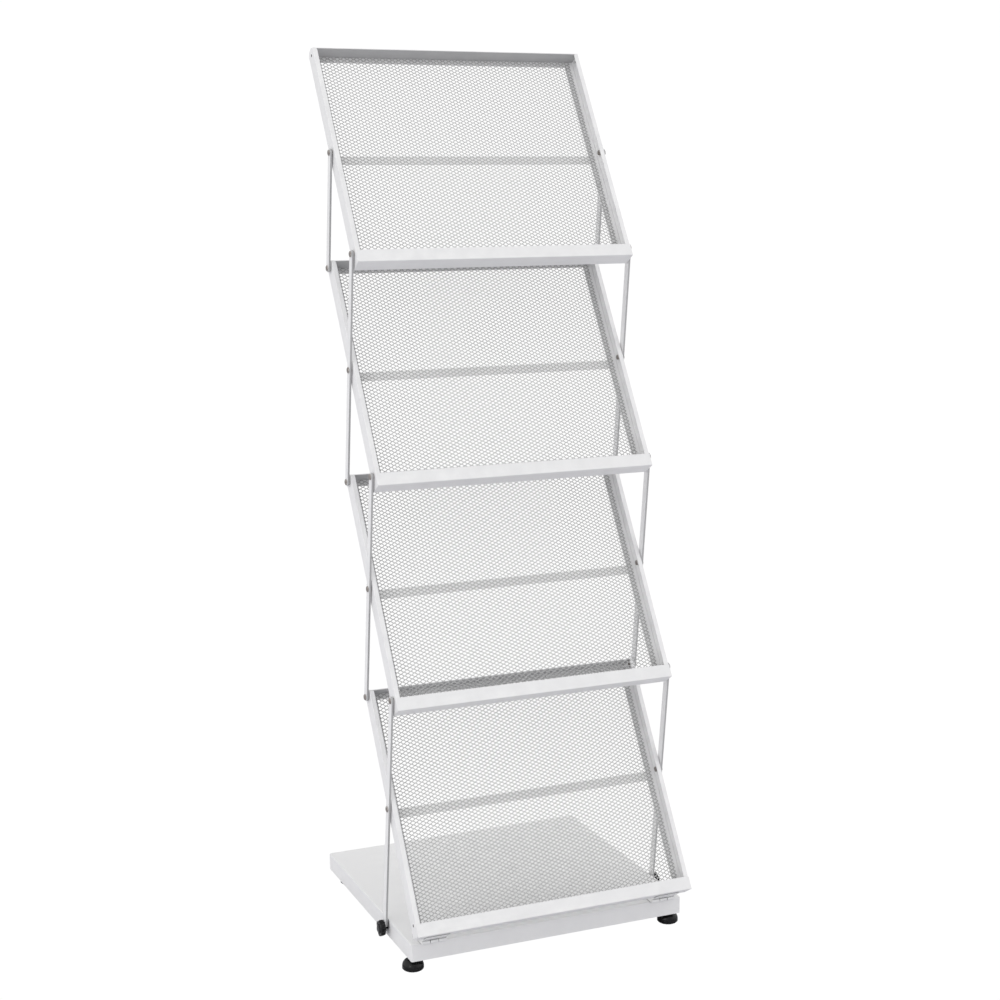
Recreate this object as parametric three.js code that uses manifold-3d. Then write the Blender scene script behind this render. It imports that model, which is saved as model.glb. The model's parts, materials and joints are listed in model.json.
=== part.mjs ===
// A free-standing folding rack for periodicals: four tilted mesh trays carried by side links
// that work as lazy tongs, hinged to a sheet-steel base with levelling feet and two clamp knobs.
// Millimetres, +Z up, the front faces -Y. Trays are counted from the top.

import * as THREE from 'three';
import { mergeVertices } from 'three/addons/utils/BufferGeometryUtils.js';
import Module from 'manifold-3d';

const wasm = await Module();
wasm.setup();

// Tongs: pivots and angles
const shelfCount = 4;
const pivotSpan = 171; // a tray's middle pivot to its end pivots
const linkSpan = 171; // a link's middle pivot to its end pivots
const shelfTilt = 32; // degrees that a tray leans back from upright
const linkTilt = 7.5; // degrees that a link leans forward from upright
const foldRatio = 1.23; // degrees that a link turns for each degree that a tray folds down

// Trays
const shelfWidth = 440;
const topMargin = 7; // top pivot to the upper edge
const bottomMargin = 18; // bottom pivot to the lower end of a side rail
const sheet = 1.2;
const railFront = 11; // pivots to the front of a side rail
const railRear = 12.5; // pivots to the rear edge of a side rail
const railRim = 7;
const railCorner = 5;
const rimMitre = 13; // upper end down to where the rim has its full width
const rimTop = 4.5; // width of the rim at its upper end
const flangeReach = 16.8; // rear flange in from the outer face of a side rail
const topFlangeDrop = 10.3; // upper edge down to the end of the top rail's flange
const lipHeight = 19.5;
const lipBackTurn = 10;
const meshThickness = 1;
const meshStrand = 8;
const meshBorder = 10;
const meshSideGap = 7.5; // outer face of a side rail in to the edge of the mesh
const meshColumns = 4;
const meshRows = 11;
const strapHeight = 14;
const strapThickness = 1.5;
const strapDrop = 6.5; // middle pivot down to the centre of the strap

// Links and rivets
const linkWidth = 12;
const linkThickness = 3;
const linkGap = 1.5; // between a link and the side rail
const shankRadius = 2.5;
const headRadius = 4.5;
const headHeight = 1.8;
const tailRadius = 4;
const tailHeight = 3.5;
const spareHoleRadius = 2.2; // pivot holes that no link uses

// Base, feet and knobs
const baseInset = 1; // side of a tray in to the side of the base
const baseDepth = 391;
const baseHeight = 26.4;
const baseWall = 1.5;
const baseCorner = 2.5;
const baseLift = 20.2; // floor to the lower edge of the base
const footRadius = 16;
const footEdge = 5; // height at which the dome of a foot starts
const footHeight = 15.5;
const footNeckRadius = 6.5;
const footChamfer = 2;
const stemRadius = 4;
const footInsetX = 10;
const rearFootInsetX = 28; // the rear pair stands further in
const footInsetY = 22;
const bossWall = 4;
const knobRadius = 12.7;
const knobLobes = 6;
const knobLobeDepth = 1.6;
const knobThickness = 7.5;
const knobHubRadius = 7;
const knobHubHeight = 0.6;
const knobDome = 1.5;
const studRadius = 3;
const studReach = 12; // stud past the inside of the base wall
const weldNutLength = 8;

// Butt hinges between the base and the lowest tray
const hingeLength = 38;
const hingeFromSide = 34; // side of a tray to the middle of a hinge
const knuckleRadius = 3;
const pinRadius = 1.2;
const leafThickness = 1.2;
const leafOnBase = 22; // leaf behind the front of the base
const leafUnderTray = 24; // leaf ahead of the pin
const hingeOverhang = 5.3; // pin ahead of the front of the base
const hingeSetback = 10.5; // pin behind the rear edges of the rails

const clearance = 0.3;
const fuse = 0.2; // overlap of pieces that are one body
const roundSides = 14;
const rivetSides = 10;
const footSides = 18;
const cornerSteps = 4;
const degree = Math.PI / 180;
const quarterTurn = 90; // degrees

// Values that follow from the sizes above
const tilt = shelfTilt * degree;
const lean = linkTilt * degree;
const halfWidth = shelfWidth / 2;
const baseWidth = shelfWidth - 2 * baseInset;
const railTop = pivotSpan + topMargin;
const railBottom = -(pivotSpan + bottomMargin);
const rimFace = -railFront;
const flangeFace = railRear - sheet;
const meshBack = flangeFace - clearance;
const meshFace = meshBack - meshThickness;
const trayFloor = railBottom - clearance; // upper face of a tray's bottom wall
const trayUnderside = trayFloor - sheet;
const holeRadius = shankRadius + clearance;
const linkInner = halfWidth + linkGap;
const linkOuter = linkInner + linkThickness;
const baseTop = baseLift + baseHeight;
const pin = { y: -hingeOverhang, z: baseTop + clearance + knuckleRadius };
const trayPin = { y: railRear + hingeSetback, z: trayUnderside - clearance - knuckleRadius };

// Middle pivot of each tray, worked up from the hinge pin
const lowestPivot = {
  y: pin.y - trayPin.y * Math.cos(tilt) - trayPin.z * Math.sin(tilt),
  z: pin.z + trayPin.y * Math.sin(tilt) - trayPin.z * Math.cos(tilt),
};
const tierRise = {
  y: pivotSpan * Math.sin(tilt) - linkSpan * Math.sin(lean),
  z: pivotSpan * Math.cos(tilt) + linkSpan * Math.cos(lean),
};
function middlePivot(shelf) {
  const tiers = shelfCount - shelf;
  return new THREE.Vector3(0, lowestPivot.y + tiers * tierRise.y, lowestPivot.z + tiers * tierRise.z);
}

// The lowest links run on past their last pivot distance to the studs in the base
const studHeight = baseLift + baseHeight / 2;
const studReachDown = (lowestPivot.z - studHeight) / Math.cos(lean);
const studY = lowestPivot.y + studReachDown * Math.sin(lean);

const coat = { color: 0xf1f1ef, roughness: 0.5, metalness: 0.1 };
const steel = { color: 0x76706c, roughness: 0.4, metalness: 0.9 };
const plastic = { color: 0x1b1b1d, roughness: 0.55, metalness: 0 };

function toSolid(geometry) {
  const bare = geometry.clone();
  bare.deleteAttribute('normal');
  bare.deleteAttribute('uv');
  const merged = mergeVertices(bare);
  const corners = merged.index.array;
  const kept = [];
  for (let i = 0; i < corners.length; i += 3) {
    const [a, b, c] = corners.slice(i, i + 3);
    if (a !== b && b !== c && c !== a) kept.push(a, b, c);
  }
  return new wasm.Manifold(new wasm.Mesh({
    numProp: 3,
    vertProperties: new Float32Array(merged.attributes.position.array),
    triVerts: new Uint32Array(kept),
  }));
}

function toGeometry(solid) {
  const mesh = solid.getMesh();
  const geometry = new THREE.BufferGeometry();
  geometry.setAttribute('position', new THREE.BufferAttribute(mesh.vertProperties, 3));
  geometry.setIndex(new THREE.BufferAttribute(mesh.triVerts, 1));
  geometry.computeVertexNormals();
  return geometry;
}

function addMesh(group, name, solid, look) {
  const mesh = new THREE.Mesh(toGeometry(solid), new THREE.MeshStandardMaterial(look));
  mesh.name = name;
  group.add(mesh);
}

function block(low, high) {
  const size = high.map((value, axis) => value - low[axis]);
  const centre = high.map((value, axis) => (value + low[axis]) / 2);
  return toSolid(new THREE.BoxGeometry(...size).translate(...centre));
}

function roundHole(x, y, radius) {
  const hole = new THREE.Path();
  hole.absarc(x, y, radius, 0, 2 * Math.PI);
  return hole;
}

function prism(shape, length) {
  return new THREE.ExtrudeGeometry(shape, { depth: length, bevelEnabled: false, curveSegments: cornerSteps });
}

// An outline in Y and Z, given its thickness between two X values
function plateAcross(shape, xLow, xHigh) {
  const turn = new THREE.Matrix4().makeBasis(
    new THREE.Vector3(0, 1, 0), new THREE.Vector3(0, 0, 1), new THREE.Vector3(1, 0, 0));
  return toSolid(prism(shape, xHigh - xLow).applyMatrix4(turn).translate(xLow, 0, 0));
}

// An outline in X and Z, given its thickness between two Y values
function plateFacing(shape, yLow, yHigh) {
  const turn = new THREE.Matrix4().makeBasis(
    new THREE.Vector3(1, 0, 0), new THREE.Vector3(0, 0, 1), new THREE.Vector3(0, -1, 0));
  return toSolid(prism(shape, yHigh - yLow).applyMatrix4(turn).translate(0, yHigh, 0));
}

function rod(radius, xLow, xHigh, y, z) {
  const geometry = new THREE.CylinderGeometry(radius, radius, xHigh - xLow, roundSides);
  return toSolid(geometry.rotateZ(Math.PI / 2).translate((xLow + xHigh) / 2, y, z));
}

function post(radius, zLow, zHigh, x, y) {
  const geometry = new THREE.CylinderGeometry(radius, radius, zHigh - zLow, roundSides);
  return toSolid(geometry.rotateX(Math.PI / 2).translate(x, y, (zLow + zHigh) / 2));
}

// Depths are counted inwards from the outer face of the rail on that side
function sideSpan(side, depthLow, depthHigh) {
  const ends = [side * (halfWidth - depthLow), side * (halfWidth - depthHigh)];
  return [Math.min(...ends), Math.max(...ends)];
}

function polygon(points) {
  return new THREE.Shape(points.map(([x, y]) => new THREE.Vector2(x, y)));
}

// Side rail: an outer wall, a front rim mitred at its upper end and a rear flange for the mesh
function railSolid(shelf, side) {
  const wall = new THREE.Shape();
  wall.moveTo(rimFace, railBottom);
  wall.lineTo(railRear, railBottom);
  wall.lineTo(railRear, railTop - railCorner);
  wall.absarc(railRear - railCorner, railTop - railCorner, railCorner, 0, Math.PI / 2);
  wall.lineTo(rimFace, railTop);
  wall.holes.push(roundHole(0, pivotSpan, shelf > 1 ? holeRadius : spareHoleRadius));
  wall.holes.push(roundHole(0, 0, holeRadius));
  wall.holes.push(roundHole(0, -pivotSpan, shelf < shelfCount ? holeRadius : spareHoleRadius));

  const rim = polygon([
    [0, railBottom], [railRim, railBottom], [railRim, railTop - rimMitre], [rimTop, railTop], [0, railTop],
  ].map(([depth, along]) => [side * (halfWidth - depth), along]));

  const [flangeLow, flangeHigh] = sideSpan(side, sheet - fuse, flangeReach);
  return plateAcross(wall, ...sideSpan(side, 0, sheet))
    .add(plateFacing(rim, rimFace, rimFace + sheet))
    .add(block([flangeLow, flangeFace, railBottom], [flangeHigh, railRear, railTop - railCorner]));
}

// Top rail: a wall notched around the rims, with a flange down behind the mesh, short above the side flanges
function topRailSolid() {
  const reach = halfWidth - sheet - clearance;
  const frontReach = halfWidth - rimTop - 2 * clearance;
  const notch = rimFace + sheet + clearance;
  const flangeEnd = halfWidth - flangeReach - clearance;
  const wall = polygon([
    [-frontReach, rimFace], [frontReach, rimFace], [frontReach, notch], [reach, notch],
    [reach, railRear], [-reach, railRear], [-reach, notch], [-frontReach, notch],
  ]);
  return toSolid(prism(wall, sheet).translate(0, 0, railTop - sheet))
    .add(block([-flangeEnd, flangeFace, railTop - topFlangeDrop], [flangeEnd, railRear, railTop]))
    .add(block([-reach, flangeFace, railTop - railCorner + clearance], [reach, railRear, railTop]));
}

// Front lip: bottom wall turned up at the front as a lip and at the rear as a stiffener
function lipSolid() {
  const front = rimFace - clearance;
  const rear = railRear + clearance;
  const lipTop = trayUnderside + lipHeight;
  const turnTop = trayUnderside + lipBackTurn;
  const profile = polygon([
    [front - sheet, trayUnderside], [rear + sheet, trayUnderside], [rear + sheet, turnTop], [rear, turnTop],
    [rear, trayFloor], [front, trayFloor], [front, lipTop], [front - sheet, lipTop],
  ]);
  return plateAcross(profile, -halfWidth, halfWidth);
}

// Mesh panel: staggered rows of diamond gaps, with a flat strap across its back
function meshSolid() {
  const reach = halfWidth - meshSideGap;
  const low = railBottom;
  const high = railTop - sheet - clearance;
  const outlines = [[[-reach, low], [reach, low], [reach, high], [-reach, high]]];
  const pitchX = 2 * (reach - meshBorder) / meshColumns;
  const pitchZ = 2 * (high - low - 2 * meshBorder) / (meshRows + 1);
  const [halfX, halfZ] = [pitchX / 2, pitchZ / 2];
  const open = 1 - (meshStrand / 2) * Math.hypot(halfX, halfZ) / (halfX * halfZ);
  for (let row = 0; row < meshRows; row += 1) {
    const gaps = meshColumns - row % 2;
    const z = low + meshBorder + halfZ * (row + 1);
    for (let gap = 0; gap < gaps; gap += 1) {
      const x = pitchX * (gap - (gaps - 1) / 2);
      const [openX, openZ] = [halfX * open, halfZ * open];
      outlines.push([[x - openX, z], [x, z + openZ], [x + openX, z], [x, z - openZ]]);
    }
  }
  const panel = wasm.Manifold.extrude(outlines, meshThickness)
    .rotate([quarterTurn, 0, 0]).translate([0, meshBack, 0]);
  const strapReach = halfWidth - flangeReach - clearance;
  return panel.add(block(
    [-strapReach, meshBack - fuse, -strapDrop - strapHeight / 2],
    [strapReach, meshBack + strapThickness, -strapDrop + strapHeight / 2]));
}

// Link: a flat bar with round ends, drilled at its pivots
function linkOutline(upper, lower, pivots) {
  const radius = linkWidth / 2;
  const bar = new THREE.Shape();
  bar.absarc(0, upper, radius, 0, Math.PI);
  bar.absarc(0, -lower, radius, Math.PI, 2 * Math.PI);
  bar.closePath();
  for (const along of pivots) bar.holes.push(roundHole(0, along, holeRadius));
  return bar;
}

// The stud leaves the lowest link forwards as the rack folds, so its seat is a notch open that way
function studNotch() {
  const sweep = {
    y: (lowestPivot.z - pin.z) + foldRatio * studReachDown * Math.cos(lean),
    z: (pin.y - lowestPivot.y) + foldRatio * studReachDown * Math.sin(lean),
  };
  const angle = Math.atan2(sweep.z, sweep.y) - lean;
  const radius = studRadius + clearance;
  const seat = new THREE.Shape();
  seat.absarc(0, 0, radius, -Math.PI / 2, Math.PI / 2);
  seat.lineTo(-linkWidth, radius);
  seat.lineTo(-linkWidth, -radius);
  seat.closePath();
  return { seat, angle };
}

function linkSolid(link, side) {
  const upper = link === 1 ? 0 : linkSpan;
  const lower = link === shelfCount ? studReachDown : linkSpan;
  const pivots = [0];
  if (link > 1) pivots.push(linkSpan);
  if (link < shelfCount) pivots.push(-linkSpan);
  const [xLow, xHigh] = side < 0 ? [-linkOuter, -linkInner] : [linkInner, linkOuter];
  const bar = plateAcross(linkOutline(upper, lower, pivots), xLow, xHigh);
  if (link < shelfCount) return bar;
  const { seat, angle } = studNotch();
  const cut = plateAcross(seat, xLow - sheet, xHigh + sheet);
  return bar.subtract(cut.rotate([angle / degree, 0, 0]).translate([0, 0, -studReachDown]));
}

// Shoulder rivet: tail inside the rail, collar that spaces the link, shank and head
function rivetSolid(side, along) {
  const tailFace = -sheet - clearance;
  const collar = [clearance, linkGap - clearance];
  const headFace = linkGap + linkThickness + clearance;
  const profile = [
    [0, tailFace - tailHeight], [tailRadius, tailFace - tailHeight], [tailRadius, tailFace],
    [shankRadius, tailFace], [shankRadius, collar[0]], [headRadius, collar[0]], [headRadius, collar[1]],
    [shankRadius, collar[1]], [shankRadius, headFace], [headRadius, headFace],
    [headRadius - headHeight / 2, headFace + headHeight], [0, headFace + headHeight],
  ].map(([radius, out]) => new THREE.Vector2(radius, out));
  const lathe = new THREE.LatheGeometry(profile, rivetSides);
  return toSolid(lathe.rotateZ(-side * Math.PI / 2).translate(side * halfWidth, 0, along));
}

function sideName(side) {
  return side < 0 ? 'left' : 'right';
}

function buildShelf(shelf) {
  const tray = new THREE.Group();
  tray.position.copy(middlePivot(shelf));
  tray.rotation.x = -tilt;
  addMesh(tray, `shelf_${shelf}_top_rail`, topRailSolid(), coat);
  addMesh(tray, `shelf_${shelf}_front_lip`, lipSolid(), coat);
  addMesh(tray, `shelf_${shelf}_mesh`, meshSolid(), coat);
  for (const side of [-1, 1]) {
    addMesh(tray, `shelf_${shelf}_${sideName(side)}_rail`, railSolid(shelf, side), coat);
    const rivets = { middle: 0 };
    if (shelf > 1) rivets.top = pivotSpan;
    if (shelf < shelfCount) rivets.bottom = -pivotSpan;
    for (const [place, along] of Object.entries(rivets)) {
      const name = `shelf_${shelf}_${sideName(side)}_${place}_rivet`;
      addMesh(tray, name, rivetSolid(side, along), steel);
    }
    if (shelf === shelfCount) addMesh(tray, `${sideName(side)}_hinge_tray_leaf`, trayLeafSolid(side), coat);
  }
  return tray;
}

function buildLinks(link) {
  const pair = new THREE.Group();
  pair.position.copy(middlePivot(link));
  pair.rotation.x = lean;
  for (const side of [-1, 1]) addMesh(pair, `link_${link}_${sideName(side)}`, linkSolid(link, side), coat);
  return pair;
}

// Butt hinge: the tray leaf has the middle knuckle, the base leaf the outer two and the pin
function hingeSpan(side) {
  const middle = side * (halfWidth - hingeFromSide);
  const [half, sixth] = [hingeLength / 2, hingeLength / 6];
  return { low: middle - half, innerLow: middle - sixth, innerHigh: middle + sixth, high: middle + half };
}

function trayLeafSolid(side) {
  const { low, innerLow, innerHigh, high } = hingeSpan(side);
  const { y, z } = trayPin;
  const keepOff = knuckleRadius + clearance;
  const leafTop = z + knuckleRadius;
  const leaf = block([low, y - leafUnderTray, leafTop - leafThickness], [high, y, leafTop]);
  const knuckle = rod(knuckleRadius, innerLow + clearance, innerHigh - clearance, y, z);
  const room = [[low - fuse, innerLow + clearance], [innerHigh - clearance, high + fuse]].map(
    ([from, to]) => block([from, y - keepOff, z - keepOff], [to, y + keepOff, z + keepOff]));
  const bore = rod(pinRadius + clearance, low - fuse, high + fuse, y, z);
  return leaf.subtract(room[0]).subtract(room[1]).add(knuckle).subtract(bore);
}

function baseLeafSolid(side) {
  const { low, innerLow, innerHigh, high } = hingeSpan(side);
  const { y, z } = pin;
  const keepOff = knuckleRadius + clearance;
  const leafLow = z - knuckleRadius;
  const leaf = block([low, y, leafLow], [high, leafOnBase, leafLow + leafThickness]);
  const room = block([innerLow - clearance, y - keepOff, z - keepOff],
    [innerHigh + clearance, y + keepOff, z + keepOff]);
  return leaf.subtract(room)
    .add(rod(knuckleRadius, low, innerLow - clearance, y, z))
    .add(rod(knuckleRadius, innerHigh + clearance, high, y, z))
    .add(rod(pinRadius, low, high, y, z));
}

function roundedRectangle(width, depth, corner) {
  const [x, y] = [width / 2 - corner, depth / 2 - corner];
  const outline = new THREE.Shape();
  outline.absarc(x, y, corner, 0, Math.PI / 2);
  outline.absarc(-x, y, corner, Math.PI / 2, Math.PI);
  outline.absarc(-x, -y, corner, Math.PI, 1.5 * Math.PI);
  outline.absarc(x, -y, corner, 1.5 * Math.PI, 2 * Math.PI);
  outline.closePath();
  return outline;
}

function footPlaces() {
  const front = baseWidth / 2 - footInsetX;
  const rear = baseWidth / 2 - rearFootInsetX;
  return [
    ['front_left', -front, footInsetY], ['front_right', front, footInsetY],
    ['rear_left', -rear, baseDepth - footInsetY], ['rear_right', rear, baseDepth - footInsetY],
  ];
}

// Base: an inverted sheet tray with a threaded boss over each foot and a weld nut behind each knob
function baseSolid() {
  const ceiling = baseTop - baseWall;
  const outside = roundedRectangle(baseWidth, baseDepth, baseCorner);
  const inside = roundedRectangle(baseWidth - 2 * baseWall, baseDepth - 2 * baseWall, baseCorner - baseWall);
  const shell = toSolid(prism(outside, baseHeight).translate(0, baseDepth / 2, baseLift));
  const hollow = toSolid(prism(inside, baseHeight).translate(0, baseDepth / 2, baseLift - baseWall));
  let base = shell.subtract(hollow);
  for (const [, x, y] of footPlaces()) {
    const boss = post(stemRadius + bossWall, baseLift + baseWall, ceiling + fuse, x, y);
    base = base.add(boss.intersect(shell)).subtract(post(stemRadius + clearance, 0, ceiling, x, y));
  }
  for (const side of [-1, 1]) {
    const wallInside = baseWidth / 2 - baseWall;
    const nut = [side * (wallInside - weldNutLength), side * (wallInside + fuse)].sort((a, b) => a - b);
    const drill = [side * (wallInside - weldNutLength - fuse), side * halfWidth].sort((a, b) => a - b);
    base = base.add(rod(studRadius + bossWall, ...nut, studY, studHeight))
      .subtract(rod(studRadius + clearance, ...drill, studY, studHeight));
  }
  return base;
}

// Levelling foot: a domed pad on a stem that stops below the top of the base
function footSolid(x, y) {
  const stemTop = baseTop - baseWall - clearance;
  const outline = [[0, 0], [footRadius - footChamfer, 0], [footRadius, footChamfer]];
  for (let step = 0; step <= cornerSteps; step += 1) {
    const turn = step * Math.PI / (2 * cornerSteps);
    outline.push([
      footNeckRadius + (footRadius - footNeckRadius) * Math.cos(turn),
      footEdge + (footHeight - footEdge) * Math.sin(turn),
    ]);
  }
  outline.push([stemRadius, footHeight], [stemRadius, stemTop], [0, stemTop]);
  const profile = outline.map(([radius, z]) => new THREE.Vector2(radius, z));
  return toSolid(new THREE.LatheGeometry(profile, footSides).rotateX(Math.PI / 2).translate(x, y, 0));
}

// Clamp knob: a lobed head on a hub, with a stud through the notch of the link into the base
function knobSolid(side) {
  const steps = knobLobes * 6;
  const outline = new THREE.Shape();
  for (let step = 0; step <= steps; step += 1) {
    const turn = 2 * Math.PI * step / steps;
    const radius = knobRadius - knobLobeDepth * (1 - Math.cos(knobLobes * turn)) / 2;
    const point = [radius * Math.cos(turn) + studY, radius * Math.sin(turn) + studHeight];
    if (step === 0) outline.moveTo(...point);
    else if (step < steps) outline.lineTo(...point);
  }
  const hubFace = linkOuter + clearance;
  const headFace = hubFace + knobHubHeight;
  const stations = [
    baseWidth / 2 - baseWall - studReach, hubFace + fuse, hubFace, headFace + fuse, headFace,
    headFace + knobThickness, headFace + knobThickness - fuse, headFace + knobThickness + knobDome,
  ].map((out) => side * out);
  const span = (a, b) => [Math.min(stations[a], stations[b]), Math.max(stations[a], stations[b])];
  return rod(studRadius, ...span(0, 1), studY, studHeight)
    .add(rod(knobHubRadius, ...span(2, 3), studY, studHeight))
    .add(plateAcross(outline, ...span(4, 5)))
    .add(rod(knobHubRadius, ...span(6, 7), studY, studHeight));
}

function buildBase() {
  const group = new THREE.Group();
  addMesh(group, 'base_tray', baseSolid(), coat);
  for (const [place, x, y] of footPlaces()) addMesh(group, `foot_${place}`, footSolid(x, y), plastic);
  for (const side of [-1, 1]) {
    addMesh(group, `knob_${sideName(side)}`, knobSolid(side), plastic);
    addMesh(group, `${sideName(side)}_hinge_base_leaf`, baseLeafSolid(side), coat);
  }
  return group;
}

const rack = new THREE.Group();
rack.add(buildBase());
for (let tier = 1; tier <= shelfCount; tier += 1) rack.add(buildShelf(tier), buildLinks(tier));

// The origin is on the floor, in the middle of the rack's depth
const extent = new THREE.Box3().setFromObject(rack, true);
rack.position.y = -(extent.min.y + extent.max.y) / 2;

export default rack;
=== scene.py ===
import json
import math

import bmesh
import bpy
from mathutils import Matrix, Vector


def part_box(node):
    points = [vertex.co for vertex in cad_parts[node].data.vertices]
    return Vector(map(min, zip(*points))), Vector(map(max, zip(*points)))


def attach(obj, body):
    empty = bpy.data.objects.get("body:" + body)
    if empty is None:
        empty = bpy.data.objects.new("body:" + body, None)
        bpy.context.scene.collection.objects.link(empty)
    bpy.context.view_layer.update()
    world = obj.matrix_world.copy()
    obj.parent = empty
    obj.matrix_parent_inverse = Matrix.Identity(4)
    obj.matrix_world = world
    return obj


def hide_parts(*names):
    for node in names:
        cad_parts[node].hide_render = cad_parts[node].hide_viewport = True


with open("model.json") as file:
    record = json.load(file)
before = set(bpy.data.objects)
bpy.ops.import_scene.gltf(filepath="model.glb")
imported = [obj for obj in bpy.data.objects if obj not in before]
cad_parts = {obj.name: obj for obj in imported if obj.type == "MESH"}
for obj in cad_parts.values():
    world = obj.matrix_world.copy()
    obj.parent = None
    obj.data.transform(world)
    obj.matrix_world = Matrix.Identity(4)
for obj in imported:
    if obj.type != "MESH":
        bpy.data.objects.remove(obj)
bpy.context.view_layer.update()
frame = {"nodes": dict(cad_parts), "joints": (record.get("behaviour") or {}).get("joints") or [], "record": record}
print("frame loaded,", len(frame["nodes"]), "nodes")

trays = (1, 2, 3, 4)  # from the top
corners = ("front_left", "front_right", "rear_left", "rear_right")

# where the pivots are, read from the joints
pivots = {joint["name"]: Vector(joint["pos_m"]) for joint in frame["joints"] if "pos_m" in joint}
trayPivot = {tray: pivots[f"links_{tray}_on_shelf_{tray}"] for tray in trays}
pivotArm = pivots["shelf_1_on_links_2"] - trayPivot[1]
linkArm = pivots["shelf_1_on_links_2"] - trayPivot[2]
trayTilt = math.atan2(-pivotArm.y, -pivotArm.z)
linkLean = math.atan2(-linkArm.y, linkArm.z)
studArm = pivots["turn_knob_left"] - trayPivot[4]
studDrop = math.hypot(studArm.y, studArm.z)

toSide = (0, math.pi / 2, 0)  # lays what stands along Z along X
straight, facing = 0.99, 0.9  # how much of an edge or a normal lies along its axis, at least
sliver = 0.0000005  # edges shorter than this are dissolved


def letGo():
    if bpy.context.mode != "OBJECT":
        bpy.ops.object.mode_set(mode="OBJECT")
    bpy.ops.object.select_all(action="DESELECT")


def hold(piece):
    letGo()
    piece.select_set(True)
    bpy.context.view_layer.objects.active = piece


def settle(piece):  # the place goes into the mesh
    hold(piece)
    bpy.ops.object.transform_apply(location=True, rotation=True, scale=True)


def rename(piece, name):
    piece.name = name
    piece.data.name = name


def begin(name, size=(1, 1, 1)):  # takes up the primitive just added
    piece = bpy.context.active_object
    rename(piece, name)
    piece.scale = size
    settle(piece)
    bpy.ops.object.mode_set(mode="EDIT")
    return piece


def close():
    bpy.ops.object.mode_set(mode="OBJECT")


def reopen(piece):
    hold(piece)
    bpy.ops.object.mode_set(mode="EDIT")


def takeAll():
    bpy.ops.mesh.select_all(action="SELECT")


def choose(piece, kind, test):  # test gets the middle, and the normal or the direction
    bpy.ops.mesh.select_mode(type=kind)
    bpy.ops.mesh.select_all(action="DESELECT")
    shape = bmesh.from_edit_mesh(piece.data)
    if kind == "VERT":
        found = [v for v in shape.verts if test(v.co, v.normal)]
    elif kind == "EDGE":
        found = []
        for edge in shape.edges:
            start, end = edge.verts[0].co, edge.verts[1].co
            if test((start + end) / 2, (end - start).normalized()):
                found.append(edge)
    else:
        found = [f for f in shape.faces if test(f.calc_center_median(), f.normal)]
    for item in found:
        item.select_set(True)
    shape.select_flush_mode()
    bmesh.update_edit_mesh(piece.data)


def near(a, b, slack=0.00006):
    return abs(a - b) < slack


def pull(value):
    bpy.ops.mesh.extrude_region_move(TRANSFORM_OT_translate={"value": value})


def resize(share, middle):
    bpy.ops.transform.resize(value=share, center_override=middle)


def cutAlong(place, normal, **more):  # through what is selected
    bpy.ops.mesh.bisect(plane_co=place, plane_no=normal, **more)


def roundEdges(radius, steps):
    bpy.ops.mesh.bevel(offset=radius, segments=steps, affect="EDGES")


def roundCorners(radius, steps):
    bpy.ops.mesh.bevel(offset=radius, segments=steps, affect="VERTICES")


def normalsOut():
    takeAll()
    bpy.ops.mesh.normals_make_consistent(inside=False)


def faceOut(piece, test, axis):  # all normals one way, the tested face towards axis
    normalsOut()
    shape = bmesh.from_edit_mesh(piece.data)
    shape.normal_update()
    known = [f for f in shape.faces if test(f.calc_center_median())]
    if sum(f.normal.dot(Vector(axis)) * f.calc_area() for f in known) < 0:
        bpy.ops.mesh.flip_normals()


def apply(piece, kind, **values):
    hold(piece)
    modifier = piece.modifiers.new(kind.title(), kind)
    for key, value in values.items():
        setattr(modifier, key, value)
    bpy.ops.object.modifier_apply(modifier=modifier.name)


def softEdges(piece, edge, angle=50):
    apply(piece, "BEVEL", width=edge, segments=2, limit_method="ANGLE", angle_limit=math.radians(angle))


def thicken(piece, sheet, edge):
    apply(piece, "SOLIDIFY", thickness=sheet, offset=-1, use_even_offset=True)
    softEdges(piece, edge, angle=40)
    reopen(piece)  # slivers left where rounded corners meet
    takeAll()
    bpy.ops.mesh.dissolve_degenerate(threshold=sliver)
    close()


def cutAway(piece, cutter):
    apply(piece, "BOOLEAN", operation="DIFFERENCE", object=cutter, solver="EXACT")
    bpy.data.objects.remove(cutter)


def drill(piece, holes, sides=28):  # across the rack, holes are (place, radius, length)
    for place, radius, length in holes:
        letGo()
        bpy.ops.mesh.primitive_cylinder_add(vertices=sides, radius=radius, depth=length, location=place,
                                            rotation=toSide)
        bit = bpy.context.active_object
        settle(bit)
        cutAway(piece, bit)


def smooth(piece, angle=32):
    hold(piece)
    bpy.ops.object.shade_smooth_by_angle(angle=math.radians(angle))


def copyOf(piece, name):
    twin = piece.copy()
    twin.data = piece.data.copy()
    rename(twin, name)
    bpy.context.scene.collection.objects.link(twin)
    return twin


def sideTwins(piece, name):  # with the same piece for the other side
    twin = copyOf(piece, name)
    twin.scale.x = -1
    settle(twin)
    reopen(twin)
    normalsOut()
    close()
    return {"right": piece, "left": twin}


def putAt(piece, pivot, turn):  # from the tray's or link's own axes to the rack
    piece.location = (0, pivot.y, pivot.z)
    piece.rotation_euler = (turn, 0, 0)
    settle(piece)


def joined(pieces, name):
    letGo()
    for piece in pieces:
        piece.select_set(True)
    bpy.context.view_layer.objects.active = pieces[0]
    bpy.ops.object.join()
    rename(pieces[0], name)
    return pieces[0]


def maskFaces(piece, test):  # the finish gives these faces a tone of their own
    mask = piece.data.attributes.new("toneMask", "FLOAT", "FACE")
    mask.data.foreach_set("value", [float(test(f.center, f.normal)) for f in piece.data.polygons])


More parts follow.
